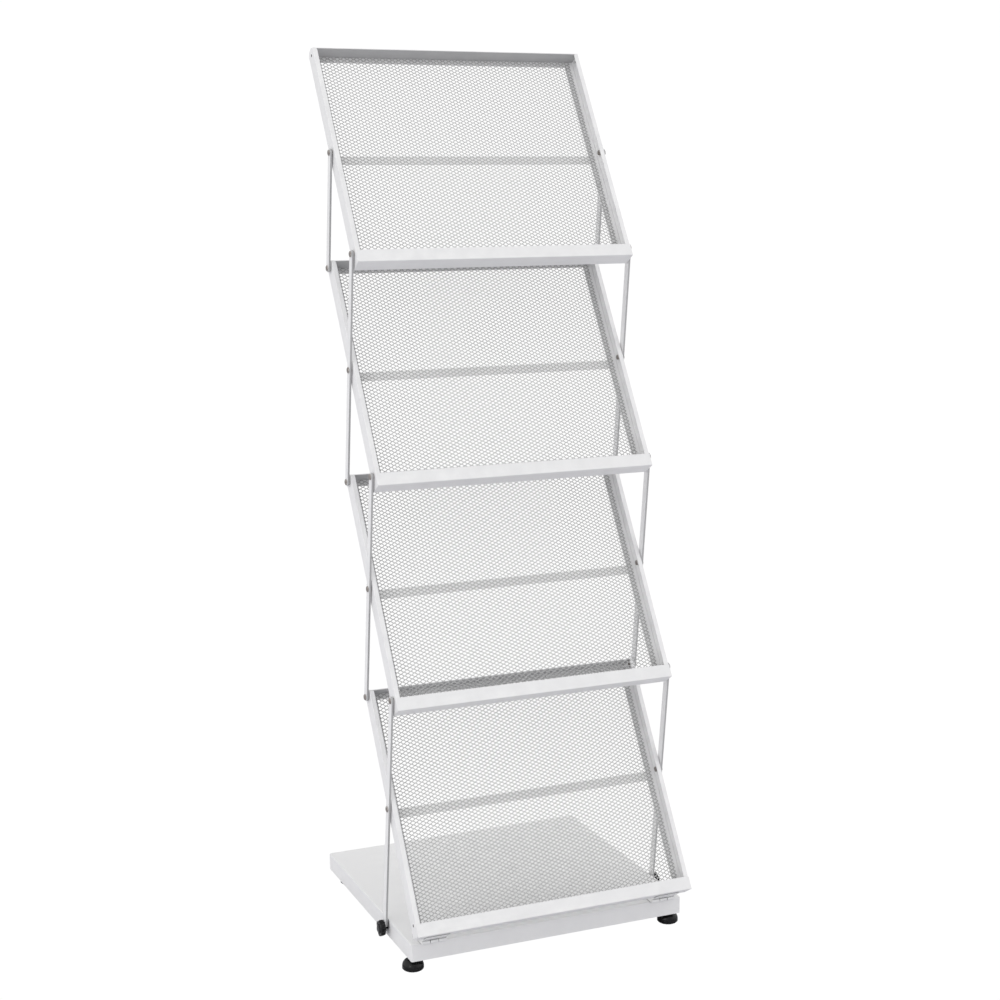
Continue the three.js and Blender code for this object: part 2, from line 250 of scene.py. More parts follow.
def raiseTiers(tiers):  # the selected face goes from the first (height, size) through the others
    height, size = tiers[0]
    for nextHeight, nextSize in tiers[1:]:
        pull((0, 0, nextHeight - height))
        share = nextSize / size
        resize((share, share, 1), (0, 0, nextHeight))
        height, size = nextHeight, nextSize


def turned(name, tiers, sides):  # round piece along Z from (height, radius) tiers
    letGo()
    height, radius = tiers[0]
    bpy.ops.mesh.primitive_circle_add(vertices=sides, radius=radius, fill_type="NGON", location=(0, 0, height))
    piece = begin(name)
    choose(piece, "FACE", lambda c, n: True)
    raiseTiers(tiers)
    normalsOut()
    close()
    return piece


def arc(heightFrom, heightTo, radiusFrom, radiusTo, steps):  # quarter round between two tiers
    tiers = []
    for step in range(1, steps + 1):
        turn = step * math.pi / (2 * steps)
        tiers.append((heightFrom + (heightTo - heightFrom) * math.sin(turn),
                      radiusTo + (radiusFrom - radiusTo) * math.cos(turn)))
    return tiers


def ridges(start, end, pitch, radius, depth):  # tiers of a thread
    tiers = []
    while start + pitch < end:
        tiers += [(start, radius), (start + pitch / 2, radius - depth)]
        start += pitch
    return tiers


# side rails: channel with a narrow front rim and a wide rear flange, round nose at the top
railCut = {
    "half": 0.220, "front": -0.011, "rear": 0.0125, "low": -0.189, "high": 0.178,
    "rim": 0.007, "rimTop": 0.0045, "mitre": 0.013, "mitreRound": 0.004,
    "flange": 0.0168, "relief": 0.0053,
    "noseTop": 0.1815, "noseFront": -0.0075, "noseRound": (0.0086, 0.0033),  # rear and front
    "fold": 0.0009, "sheet": 0.0012, "edge": 0.00016,
    "hole": 0.0028, "spareHole": 0.0022, "drill": 0.006, "holeWall": 0.3,  # most X in the normal of a hole's wall
}


def makeRail(cut):
    flangeTop = cut["high"] - cut["relief"]
    letGo()
    middle = (cut["half"], (cut["front"] + cut["rear"]) / 2, (cut["low"] + cut["noseTop"]) / 2)
    bpy.ops.mesh.primitive_plane_add(size=1, location=middle, rotation=toSide)
    rail = begin("railPattern", (cut["noseTop"] - cut["low"], cut["rear"] - cut["front"], 1))
    takeAll()
    cutAlong((0, cut["noseFront"], 0), (0, 1, 0))
    choose(rail, "FACE", lambda c, n: c.y < cut["noseFront"])
    cutAlong((0, 0, cut["high"]), (0, 0, 1))
    choose(rail, "FACE", lambda c, n: c.y < cut["noseFront"] and c.z > cut["high"])
    bpy.ops.mesh.delete(type="FACE")
    choose(rail, "EDGE", lambda c, d: near(c.y, cut["front"]))
    pull((-cut["rim"], 0, 0))
    choose(rail, "FACE", lambda c, n: near(c.y, cut["front"]))
    cutAlong((cut["half"] - cut["rimTop"], 0, cut["high"]), (-cut["mitre"], 0, cut["rim"] - cut["rimTop"]),
             clear_outer=True)
    choose(rail, "VERT", lambda c, n: near(c.x, cut["half"] - cut["rim"]) and c.z > 0)
    roundCorners(cut["mitreRound"], steps=4)
    choose(rail, "FACE", lambda c, n: near(c.x, cut["half"]) and c.y > cut["noseFront"])
    cutAlong((0, 0, flangeTop), (0, 0, 1))
    choose(rail, "EDGE", lambda c, d: near(c.y, cut["rear"]) and c.z < flangeTop)
    pull((-cut["flange"], 0, 0))
    for place, radius in zip((cut["rear"], cut["noseFront"]), cut["noseRound"]):
        choose(rail, "VERT", lambda c, n: near(c.y, place) and near(c.z, cut["noseTop"]))
        roundCorners(radius, steps=6)
    for place in (cut["front"], cut["rear"]):
        choose(rail, "EDGE", lambda c, d: near(c.x, cut["half"]) and near(c.y, place)
               and abs(d.z) > straight and c.z < flangeTop)
        roundEdges(cut["fold"], steps=4)
    faceOut(rail, lambda c: near(c.x, cut["half"]), (1, 0, 0))
    close()
    thicken(rail, cut["sheet"], cut["edge"])
    return rail


# top rail: wall notched around the rims, flange down behind the mesh and short above the side flanges
topCut = {
    "front": -0.011, "rear": 0.0125, "high": 0.178, "frontHalf": 0.2149, "half": 0.2185, "notch": -0.0095,
    "flangeHalf": 0.2029, "drop": 0.0103, "ear": 0.0047, "fold": 0.0009, "sheet": 0.0012, "edge": 0.00016,
    "undersideShade": 0.42,
}


def makeTopRail(cut):
    letGo()
    bpy.ops.mesh.primitive_plane_add(size=1, location=(0, (cut["front"] + cut["rear"]) / 2, cut["high"]))
    top = begin("topPattern", (2 * cut["half"], cut["rear"] - cut["front"], 1))
    for place in (cut["frontHalf"], cut["flangeHalf"]):
        for end in (-1, 1):
            takeAll()
            cutAlong((end * place, 0, 0), (1, 0, 0))
    choose(top, "FACE", lambda c, n: abs(c.x) > cut["frontHalf"])
    cutAlong((0, cut["notch"], 0), (0, 1, 0))
    choose(top, "FACE", lambda c, n: abs(c.x) > cut["frontHalf"] and c.y < cut["notch"])
    bpy.ops.mesh.delete(type="FACE")
    choose(top, "EDGE", lambda c, d: near(c.y, cut["rear"]) and abs(d.x) > straight)
    pull((0, 0, -cut["ear"]))
    choose(top, "EDGE", lambda c, d: near(c.z, cut["high"] - cut["ear"]) and near(c.x, 0))
    pull((0, 0, cut["ear"] - cut["drop"]))
    choose(top, "EDGE", lambda c, d: near(c.y, cut["rear"]) and near(c.z, cut["high"]))
    roundEdges(cut["fold"], steps=4)
    faceOut(top, lambda c: near(c.z, cut["high"]), (0, 0, 1))
    close()
    thicken(top, cut["sheet"], cut["edge"])
    maskFaces(top, lambda c, n: cut["undersideShade"] * (n.z < -facing))  # painted shade on the underside of the top wall
    return top


# front lip: bottom wall with a lip in front and a stiffener behind
lipCut = {
    "half": 0.220, "front": -0.0125, "rear": 0.014, "under": -0.1905, "lip": 0.0195, "stiffener": 0.010,
    "fold": 0.0011, "sheet": 0.0012, "edge": 0.00018, "corner": 0.0018,
}


def makeLip(cut):
    letGo()
    middle = (0, cut["front"], cut["under"] + cut["lip"] / 2)
    bpy.ops.mesh.primitive_plane_add(size=1, location=middle, rotation=(math.pi / 2, 0, 0))
    lip = begin("lipPattern", (2 * cut["half"], cut["lip"], 1))
    choose(lip, "EDGE", lambda c, d: near(c.z, cut["under"]))
    pull((0, cut["rear"] - cut["front"], 0))
    pull((0, 0, cut["stiffener"]))
    choose(lip, "EDGE", lambda c, d: near(c.z, cut["under"]) and abs(d.x) > straight)
    roundEdges(cut["fold"], steps=5)
    choose(lip, "VERT", lambda c, n: near(c.z, cut["under"] + cut["lip"]))
    roundCorners(cut["corner"], steps=3)
    faceOut(lip, lambda c: near(c.y, cut["front"]), (0, -1, 0))
    close()
    thicken(lip, cut["sheet"], cut["edge"])
    return lip


# expanded metal: one hole with its share of the strands, repeated over the panel, and a strap behind
netCut = {
    "half": 0.2125, "low": -0.189, "high": 0.1765, "front": 0.0101, "thick": 0.0006, "lean": 0.00035,
    "columns": 41, "rows": 63, "bond": 0.0005, "open": 0.80, "weld": 0.00001,
    "strapHalf": 0.2028, "strapHigh": 0.014, "strapThick": 0.0015, "strapMiddle": -0.0065, "strapRound": 0.3,
}


def makeNet(cut):
    wide = 2 * cut["half"] / cut["columns"]
    tall = (cut["high"] - cut["low"]) / cut["rows"]
    tip = wide / 2 - cut["bond"]
    letGo()
    bpy.ops.mesh.primitive_circle_add(vertices=6, radius=1, rotation=(math.pi / 2, math.pi / 2, 0))
    net = begin("netPattern")
    choose(net, "VERT", lambda c, n: near(c.z, 0))
    resize((tip, 1, 1), (0, 0, 0))
    choose(net, "VERT", lambda c, n: not near(c.z, 0))  # these stand at 1/2 and root 3 / 2
    resize((2 * cut["bond"], 1, tall / math.sqrt(3)), (0, 0, 0))
    takeAll()
    bpy.ops.mesh.extrude_edges_move(TRANSFORM_OT_translate={"value": (0, 0, 0)})
    resize((cut["open"], 1, cut["open"]), (0, 0, 0))
    for end in (-1, 1):  # strands lean like louvres, facing up
        choose(net, "VERT", lambda c, n: near(c.z, end * tall / 2 * cut["open"]))
        bpy.ops.transform.translate(value=(0, -end * cut["lean"], 0))
    takeAll()
    pull((0, cut["thick"], 0))

    def reach(c):  # 1 on the border of the tile
        return max(2 * abs(c.z) / tall, (abs(c.x) + abs(c.z) * (tip - cut["bond"]) * 2 / tall) / tip)

    choose(net, "FACE", lambda c, n: near(c.y, cut["thick"] / 2) and reach(c) > (1 + cut["open"]) / 2)
    bpy.ops.mesh.delete(type="FACE")
    takeAll()  # the hole of the next row
    bpy.ops.mesh.duplicate_move(TRANSFORM_OT_translate={"value": (-wide / 2, 0, -tall / 2)})
    takeAll()
    bpy.ops.transform.translate(value=(-cut["half"] + wide / 2, cut["front"], cut["low"] + tall / 2))
    close()
    for count, step in ((cut["columns"] + 1, (wide, 0, 0)), (cut["rows"] + 1, (0, 0, tall))):
        apply(net, "ARRAY", count=count, use_relative_offset=False, use_constant_offset=True,
              constant_offset_displace=step)
    reopen(net)
    takeAll()
    bpy.ops.mesh.remove_doubles(threshold=cut["weld"])
    bpy.ops.mesh.normals_make_consistent(inside=False)
    for place, normal in (((cut["half"], 0, 0), (1, 0, 0)), ((-cut["half"], 0, 0), (-1, 0, 0)),
                          ((0, 0, cut["high"]), (0, 0, 1)), ((0, 0, cut["low"]), (0, 0, -1))):
        takeAll()
        cutAlong(place, normal, use_fill=True, clear_outer=True)
    close()
    letGo()
    middle = (0, cut["front"] + cut["thick"] + cut["strapThick"] / 2, cut["strapMiddle"])
    bpy.ops.mesh.primitive_cube_add(size=1, location=middle)
    strap = begin("strapPattern", (2 * cut["strapHalf"], cut["strapThick"], cut["strapHigh"]))
    choose(strap, "EDGE", lambda c, d: abs(d.x) > straight)
    roundEdges(cut["strapThick"] * cut["strapRound"], steps=3)
    close()
    maskFaces(net, lambda c, n: False)
    maskFaces(strap, lambda c, n: True)  # the strap has the coat of the rails
    return joined([net, strap], "netPattern")


# links: flat bars with round ends, the lowest pair notched for the base studs
linkCut = {
    "inner": 0.2215, "thick": 0.003, "wide": 0.012, "span": 0.171, "hole": 0.0028, "drill": 0.008, "edge": 0.00016,
    "notch": 0.0033, "notchTurn": -0.1085, "notchLong": 0.010, "past": 0.002, "sides": 10, "round": 0.96,
}
span = linkCut["span"]


def makeLink(cut, name, upper, lower, holes):  # right-hand bar along Z, pivot at zero
    letGo()
    middle = (cut["inner"], 0, (upper - lower) / 2)
    bpy.ops.mesh.primitive_plane_add(size=1, location=middle, rotation=toSide)
    link = begin(name, (upper + lower + cut["wide"], cut["wide"], 1))
    choose(link, "VERT", lambda c, n: True)
    roundCorners(cut["wide"] / 2 * cut["round"], steps=cut["sides"])
    choose(link, "FACE", lambda c, n: True)
    pull((cut["thick"], 0, 0))
    normalsOut()
    close()
    softEdges(link, cut["edge"])
    centre = cut["inner"] + cut["thick"] / 2
    drill(link, [((centre, 0, place), cut["hole"], cut["drill"]) for place in holes])
    return link


def cutNotch(link, cut, drop):  # open to the front, where the stud leaves as the rack folds
    letGo()
    middle = (cut["inner"] - cut["past"], -cut["notchLong"] / 2, 0)
    bpy.ops.mesh.primitive_plane_add(size=1, location=middle, rotation=toSide)
    cutter = begin("notchCutter", (2 * cut["notch"], cut["notchLong"] + 2 * cut["notch"], 1))
    choose(cutter, "VERT", lambda c, n: c.y > 0)
    roundCorners(cut["notch"] * cut["round"], steps=cut["sides"])
    choose(cutter, "FACE", lambda c, n: True)
    pull((cut["thick"] + 2 * cut["past"], 0, 0))
    normalsOut()
    close()
    cutter.rotation_euler = (cut["notchTurn"], 0, 0)
    cutter.location = (0, 0, -drop)
    settle(cutter)
    cutAway(link, cutter)


# rivets: bolt end inside the rail, collar, shank and domed head outside the link
rivetCut = {
    "half": 0.220, "sides": 28,
    "tiers": [(-0.0044, 0.0012), (-0.0050, 0.0017), (-0.0050, 0.0030), (-0.0047, 0.0037), (-0.0042, 0.0040),
              (-0.0015, 0.0040), (-0.0015, 0.0025), (0.0003, 0.0025), (0.0003, 0.0043), (0.0005, 0.0045),
              (0.0010, 0.0045), (0.0012, 0.0043), (0.0012, 0.0025), (0.0048, 0.0025), (0.0048, 0.0043),
              (0.0050, 0.0045), (0.0054, 0.0045), (0.0060, 0.0041), (0.0064, 0.0033), (0.0066, 0.0020),
              (0.0066, 0.0013), (0.0062, 0.0010)],
}


def makeRivet(cut):
    rivet = turned("rivetPattern", cut["tiers"], cut["sides"])
    rivet.rotation_euler = toSide
    rivet.location = (cut["half"], 0, 0)
    settle(rivet)
    return rivet


# base: inverted sheet tray with threaded bosses for the feet and weld nuts for the knobs
baseCut = {
    "corner": 0.0023, "topEdge": 0.0014, "wall": 0.0015, "edge": 0.0002, "studHole": 0.0033, "drill": 0.012,
    "boss": 0.008, "bossBore": 0.0043, "bossEnd": 0.0004, "bossSides": 32,
    "nut": 0.007, "nutLong": 0.008, "soft": 0.0005,
}


def makeBoss(cut, stem, ceiling, tall):
    letGo()
    bpy.ops.mesh.primitive_cylinder_add(vertices=cut["bossSides"], radius=cut["boss"], depth=tall,
                                        location=(stem.x, stem.y, ceiling - tall / 2))
    boss = begin("base_boss")
    choose(boss, "FACE", lambda c, n: n.z < -facing)
    bpy.ops.mesh.inset(thickness=cut["boss"] - cut["bossBore"])
    pull((0, 0, tall - cut["bossEnd"]))
    normalsOut()
    close()
    softEdges(boss, cut["soft"])
    return boss


def makeNut(cut, middle):
    letGo()
    bpy.ops.mesh.primitive_cylinder_add(vertices=6, radius=cut["nut"], depth=cut["nutLong"], location=middle,
                                        rotation=toSide)
    nut = begin("base_weld_nut")
    close()
    softEdges(nut, cut["soft"])
    drill(nut, [(middle, cut["studHole"], cut["nutLong"] * 2)])
    return nut


def makeBase(cut):
    low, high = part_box("base_tray")
    letGo()
    bpy.ops.mesh.primitive_cube_add(size=1, location=(low + high) / 2)
    base = begin("base_tray_shell", high - low)
    choose(base, "FACE", lambda c, n: n.z < -facing)
    bpy.ops.mesh.delete(type="FACE")
    choose(base, "EDGE", lambda c, d: abs(d.z) > straight)
    roundEdges(cut["corner"], steps=5)
    choose(base, "EDGE", lambda c, d: near(c.z, high.z))
    roundEdges(cut["topEdge"], steps=5)
    faceOut(base, lambda c: near(c.z, high.z), (0, 0, 1))
    close()
    thicken(base, cut["wall"], cut["edge"])
    studs = {-1: pivots["turn_knob_left"], 1: pivots["turn_knob_right"]}
    drill(base, [(place[:], cut["studHole"], cut["drill"]) for place in studs.values()])
    parts = [base]
    ceiling = high.z - cut["wall"]
    for corner in corners:
        footLow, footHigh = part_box(f"foot_{corner}")
        parts.append(makeBoss(cut, (footLow + footHigh) / 2, ceiling, ceiling - low.z - cut["wall"]))
    for side, place in studs.items():
        nutMiddle = side * (high.x - cut["wall"] - cut["nutLong"] / 2)
        parts.append(makeNut(cut, (nutMiddle, place.y, place.z)))
    return joined(parts, "base_tray_folded")


# levelling feet: domed pads on threaded stems
footCut = {
    "sides": 48, "under": [(0.0008, 0.0096), (0.0, 0.0102), (0.0, 0.0138), (0.0006, 0.0148)],
    "radius": 0.016, "edgeLow": 0.0020, "edgeHeight": 0.005, "dome": 0.0155, "domeSteps": 9, "neck": 0.0065,
    "collar": 0.0004, "stem": 0.004, "stemTop": 0.0448, "pitch": 0.00125, "thread": 0.00045,
    "tip": 0.0006, "tipIn": 0.0010,
}


def makeFoot(cut):
    threadEnd = cut["stemTop"] - cut["tip"]
    tiers = cut["under"] + [(cut["edgeLow"], cut["radius"]), (cut["edgeHeight"], cut["radius"])]
    tiers += arc(cut["edgeHeight"], cut["dome"], cut["radius"], cut["neck"], cut["domeSteps"])
    tiers += [(cut["dome"], cut["stem"] + cut["collar"]), (cut["dome"], cut["stem"])]
    tiers += ridges(cut["dome"] + cut["pitch"] / 2, threadEnd, cut["pitch"], cut["stem"], cut["thread"])
    tiers += [(threadEnd, cut["stem"] - cut["thread"] / 2), (cut["stemTop"], cut["stem"] - cut["tipIn"])]
    return turned("footPattern", tiers, cut["sides"])


# clamp knobs: lobed grip with a raised cap, hub and stud
knobCut = {
    "radius": 0.0127, "lobes": 6, "lobeDepth": 0.0020, "perLobe": 12, "face": 0.2254, "thick": 0.0075,
    "back": [(0, 0.90), (0.0004, 0.955), (0.0013, 0.99), (0.0024, 1.0)],  # height and size of the grip
    "front": [(0.0022, 1.0), (0.0011, 0.985), (0.0003, 0.945), (0, 0.89), (0, 0.74), (0.0005, 0.71),
              (0.0005, 0.64)],  # depth and size
    "cap": 0.0015, "capSink": 0.0008, "capWall": 0.0010, "capFlat": (0.0030, 0.0010), "capSteps": 6, "capSides": 36,
    "hub": 0.007, "hubFace": 0.2248, "hubEdge": 0.0005,
    "stud": 0.003, "studEnd": 0.2055, "studTip": (0.0022, 0.0007), "studNeck": 0.0026, "studSides": 32,
    "pitch": 0.001, "thread": 0.00035, "threadEnds": (0.0010, 0.003),
}


def makeGrip(cut):
    count = cut["lobes"] * cut["perLobe"]
    face = cut["face"]
    letGo()
    bpy.ops.mesh.primitive_circle_add(vertices=count, radius=cut["radius"], fill_type="NGON", location=(0, 0, face))
    grip = begin("knobPattern")
    for step in range(1, cut["perLobe"] // 2 + 1):  # hollows between the lobes
        phase = 2 * math.pi * step / count
        share = 1 - cut["lobeDepth"] / cut["radius"] * (1 - math.cos(cut["lobes"] * phase)) / 2

        def inPhase(c, n):
            turn = abs(((math.atan2(c.y, c.x) * cut["lobes"] + math.pi) % (2 * math.pi)) - math.pi)
            return near(turn, phase * cut["lobes"], slack=0.02)

        choose(grip, "VERT", inPhase)
        resize((share, share, 1), (0, 0, face))
    choose(grip, "FACE", lambda c, n: True)
    share = cut["back"][0][1]
    resize((share, share, 1), (0, 0, face))
    raiseTiers([(face + rise, size) for rise, size in cut["back"]]
               + [(face + (cut["thick"] - depth), size) for depth, size in cut["front"]])
    normalsOut()
    close()
    return grip


def makeKnob(cut):  # right-hand knob, out along Z until it is turned to X
    grip = makeGrip(cut)
    capStart = cut["face"] + cut["thick"] - cut["capSink"]
    capRound = capStart + cut["capWall"]
    capTop = cut["face"] + cut["thick"] + cut["cap"]
    tiers = [(capStart, cut["hub"]), (capRound, cut["hub"])]
    tiers += arc(capRound, capTop, cut["hub"], cut["capFlat"][0], cut["capSteps"]) + [(capTop, cut["capFlat"][1])]
    cap = turned("knobCap", tiers, cut["capSides"])
    tipRadius, tipLong = cut["studTip"]
    fromEnd, fromHub = cut["threadEnds"]
    tiers = [(cut["studEnd"], tipRadius), (cut["studEnd"] + tipLong, cut["stud"])]
    tiers += ridges(cut["studEnd"] + fromEnd, cut["hubFace"] - fromHub, cut["pitch"], cut["stud"], cut["thread"])
    tiers += [(cut["hubFace"] - cut["studNeck"], cut["stud"]), (cut["hubFace"], cut["stud"]),
              (cut["hubFace"], cut["hub"] - cut["hubEdge"]), (cut["hubFace"] + cut["hubEdge"], cut["hub"]),
              (cut["face"] + cut["hubEdge"], cut["hub"])]
    stud = turned("knobStud", tiers, cut["studSides"])
    knob = joined([grip, cap, stud], "knobPattern")
    knob.rotation_euler = toSide
    settle(knob)
    return knob


# butt hinges: rolled knuckles on two leaves, pin through all three
hingeCut = {
    "long": 0.038, "fromSide": 0.034, "half": 0.220, "knuckle": 0.003, "bore": 0.0013, "pin": 0.0012, "leaf": 0.0012,
    "onBase": 0.0273, "underTray": 0.024, "gap": 0.0003, "corner": 0.003, "trayPin": (0.023, -0.1938),
    "overlap": 0.0002, "pinTip": (0.0002, 0.0007), "sides": 32, "pinSides": 24,
    "knuckleEdge": 0.00025, "leafEdge": 0.0003, "strapEdge": 0.0002,
}


def makeKnuckle(cut, start, end, y, z):
    letGo()
    bpy.ops.mesh.primitive_cylinder_add(vertices=cut["sides"], radius=cut["knuckle"], depth=end - start,
                                        location=((start + end) / 2, y, z), rotation=toSide)
    knuckle = begin("knuckle")
    choose(knuckle, "FACE", lambda c, n: abs(n.x) > facing)
    bpy.ops.mesh.inset(thickness=cut["knuckle"] - cut["bore"])
    bpy.ops.mesh.bridge_edge_loops()
    normalsOut()
    close()
    softEdges(knuckle, cut["knuckleEdge"])
    return knuckle


def makeLeaf(cut, start, end, yFrom, yTo, zFace):  # rounded at the corners away from the pin
    letGo()
    middle = ((start + end) / 2, (yFrom + yTo) / 2, zFace)
    bpy.ops.mesh.primitive_plane_add(size=1, location=middle)
    leaf = begin("leaf", (end - start, abs(yTo - yFrom), 1))
    choose(leaf, "VERT", lambda c, n: near(c.y, yTo))
    roundCorners(cut["corner"], steps=5)
    choose(leaf, "FACE", lambda c, n: True)
    pull((0, 0, cut["leaf"]))
    normalsOut()
    close()
    softEdges(leaf, cut["leafEdge"])
    return leaf


def makeStrap(cut, start, end, y, z):  # from the knuckle to the leaf
    letGo()
    bpy.ops.mesh.primitive_cube_add(size=1, location=((start + end) / 2, y, z))
    away = cut["knuckle"] + cut["gap"]
    strap = begin("hingeStrap", (end - start, away + 2 * cut["overlap"], cut["leaf"]))
    close()
    softEdges(strap, cut["strapEdge"])
    return strap


def hingeEnds(cut, side):  # where the three knuckles start and end
    middle = side * (cut["half"] - cut["fromSide"])
    return [middle + share * cut["long"] for share in (-1 / 2, -1 / 6, 1 / 6, 1 / 2)]


def makeBaseLeaf(cut, side):
    low, innerLow, innerHigh, high = hingeEnds(cut, side)
    y, z = pivots["fold"].y, pivots["fold"].z
    away = cut["knuckle"] + cut["gap"]
    parts = [makeLeaf(cut, low, high, y + away, y + cut["onBase"], z - cut["knuckle"])]
    for start, end in ((low, innerLow - cut["gap"]), (innerHigh + cut["gap"], high)):
        parts.append(makeKnuckle(cut, start, end, y, z))
        parts.append(makeStrap(cut, start, end, y + away / 2 + cut["overlap"], z - cut["knuckle"] + cut["leaf"] / 2))
    past, tip = cut["pinTip"]
    tiers = [(low - past, tip), (low, cut["pin"]), (high, cut["pin"]), (high + past, tip)]
    pin = turned("hingePin", tiers, cut["pinSides"])
    pin.rotation_euler = toSide
    pin.location = (0, y, z)
    settle(pin)
    return joined(parts + [pin], "hingeBaseLeaf")


def makeTrayLeaf(cut, side):  # in the lowest tray's own axes
    low, innerLow, innerHigh, high = hingeEnds(cut, side)
    y, z = cut["trayPin"]
    away = cut["knuckle"] + cut["gap"]
    face = z + cut["knuckle"]
    start, end = innerLow + cut["gap"], innerHigh - cut["gap"]
    parts = [makeLeaf(cut, low, high, y - away, y - cut["underTray"], face - cut["leaf"]),
             makeKnuckle(cut, start, end, y, z),
             makeStrap(cut, start, end, y - away / 2 - cut["overlap"], face - cut["leaf"] / 2)]
    return joined(parts, "hingeTrayLeaf")


pieces = {}


def fit(piece, node, body, slot):  # the finished piece stands for its node
    rename(piece, node + "_look")
    if slot != "coated_mesh":  # flat faces shade flat up to their rounded edges
        apply(piece, "WEIGHTED_NORMAL", keep_sharp=True)
    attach(piece, body)
    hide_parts(node)
    pieces[node] = piece


print("making trays")
railPlain = makeRail(railCut)
topPattern = makeTopRail(topCut)
lipPattern = makeLip(lipCut)
netPattern = makeNet(netCut)
rivetPattern = makeRivet(rivetCut)
for pattern in (topPattern, lipPattern, rivetPattern):
    smooth(pattern)
holePlaces = {"top": span, "middle": 0, "bottom": -span}
for tray in trays:
    body = f"shelf_{tray}"
    for pattern, word, slot in ((topPattern, "top_rail", "white_coat"), (lipPattern, "front_lip", "white_coat"),
                                (netPattern, "mesh", "coated_mesh")):
        piece = copyOf(pattern, word)
        putAt(piece, trayPivot[tray], -trayTilt)
        fit(piece, f"shelf_{tray}_{word}", body, slot)
    used = ["middle"]
    if tray > 1:
        used.append("top")
    if tray < 4:
        used.append("bottom")
    rail = copyOf(railPlain, "rail")
    holes = []
    for word, place in holePlaces.items():
        radius = railCut["hole"] if word in used else railCut["spareHole"]
        holes.append(((railCut["half"], 0, place), radius, railCut["drill"]))
    drill(rail, holes)
    maskFaces(rail, lambda c, n: abs(n.x) < railCut["holeWall"] and any(  # painted shade inside the spare holes
        math.hypot(c.y, c.z - place) < railCut["spareHole"] for place in holePlaces.values()))
    smooth(rail)
    for side, piece in sideTwins(rail, "railLeft").items():
        putAt(piece, trayPivot[tray], -trayTilt)
        fit(piece, f"shelf_{tray}_{side}_rail", body, "white_coat")
    for word in used:
        rivet = copyOf(rivetPattern, "rivet")
        rivet.location = (0, 0, holePlaces[word])
        settle(rivet)
        for side, piece in sideTwins(rivet, "rivetLeft").items():
            putAt(piece, trayPivot[tray], -trayTilt)
            fit(piece, f"shelf_{tray}_{side}_{word}_rivet", body, "rivet_steel")

print("making links")
linkKinds = {  # length above and below the middle pivot, and the holes
    1: (0, span, (0, -span)),
    2: (span, span, (span, 0, -span)),
    3: (span, span, (span, 0, -span)),
    4: (span, studDrop, (span, 0)),
}
for pair, (upper, lower, holes) in linkKinds.items():
    link = makeLink(linkCut, "link", upper, lower, holes)
    if pair == 4:
        cutNotch(link, linkCut, studDrop)
    smooth(link)
    for side, piece in sideTwins(link, "linkLeft").items():
        putAt(piece, trayPivot[pair], linkLean)
        fit(piece, f"link_{pair}_{side}", f"links_{pair}", "white_coat")

print("making base, feet, knobs and hinges")
base = makeBase(baseCut)
smooth(base)
fit(base, "base_tray", "base", "white_coat")
footPattern = makeFoot(footCut)
smooth(footPattern)
for corner in corners:
    low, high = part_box(f"foot_{corner}")
    foot = copyOf(footPattern, "foot")
    foot.location = ((low.x + high.x) / 2, (low.y + high.y) / 2, low.z)
    settle(foot)
    fit(foot, f"foot_{corner}", f"foot_{corner}_body", "black_plastic")
knob = makeKnob(knobCut)
smooth(knob, angle=38)
for side, piece in sideTwins(knob, "knobLeft").items():
    putAt(piece, pivots[f"turn_knob_{side}"], 0)
    fit(piece, f"knob_{side}", f"knob_{side}_body", "black_plastic")
for side, sign in (("left", -1), ("right", 1)):
    leaf = makeBaseLeaf(hingeCut, sign)
    smooth(leaf)
    fit(leaf, f"{side}_hinge_base_leaf", "base", "coated_hinge")
    leaf = makeTrayLeaf(hingeCut, sign)
    smooth(leaf)
    putAt(leaf, trayPivot[4], -trayTilt)
    fit(leaf, f"{side}_hinge_tray_leaf", "shelf_4", "coated_hinge")
for pattern in (railPlain, topPattern, lipPattern, netPattern, rivetPattern, footPattern):
    bpy.data.objects.remove(pattern)
print(len(pieces), "pieces made")


def addNode(tree, kind, **values):
    made = tree.nodes.new(kind)
    for key, value in values.items():
        if hasattr(made, key):
            setattr(made, key, value)
        else:
            made.inputs[key].default_value = value
    return made


def feed(tree, socket, value):  # from another socket, or a fixed value
    if isinstance(value, bpy.types.NodeSocket):
        tree.links.new(value, socket)
    else:
        socket.default_value = value


def sums(tree, operation, *values, clamp=False):
    made = addNode(tree, "ShaderNodeMath", operation=operation, use_clamp=clamp)
    for socket, value in zip(made.inputs, values):
        feed(tree, socket, value)
    return made.outputs[0]


def mixed(tree, share, first, second):
    made = addNode(tree, "ShaderNodeMix", data_type="RGBA")
    for label, value in (("Factor", share), ("A", first), ("B", second)):
        feed(tree, made.inputs[label], value)
    return made.outputs["Result"]


def spread(tree, value, fromEnds=(0, 1), toEnds=(0, 1)):
    made = addNode(tree, "ShaderNodeMapRange")
    labels = ("Value", "From Min", "From Max", "To Min", "To Max")
    for label, given in zip(labels, (value, *fromEnds, *toEnds)):
        feed(tree, made.inputs[label], given)
    return made.outputs["Result"]


def texture(tree, kind, scale, **values):
    made = addNode(tree, kind, **values)
    feed(tree, made.inputs["Vector"], addNode(tree, "ShaderNodeTexCoord").outputs["Object"])
    feed(tree, made.inputs["Scale"], scale)
    return made.outputs


# effects that several finishes share
groups = {}
number, colour = "NodeSocketFloat", "NodeSocketColor"


def startGroup(name, takes, gives):
    group = bpy.data.node_groups.new(name, "ShaderNodeTree")
    for label, kind, value in takes:
        socket = group.interface.new_socket(name=label, in_out="INPUT", socket_type=kind)
        socket.default_value = value
    for label, kind in gives:
        group.interface.new_socket(name=label, in_out="OUTPUT", socket_type=kind)
    groups[name] = group
    return group, group.nodes.new("NodeGroupInput").outputs, group.nodes.new("NodeGroupOutput").inputs


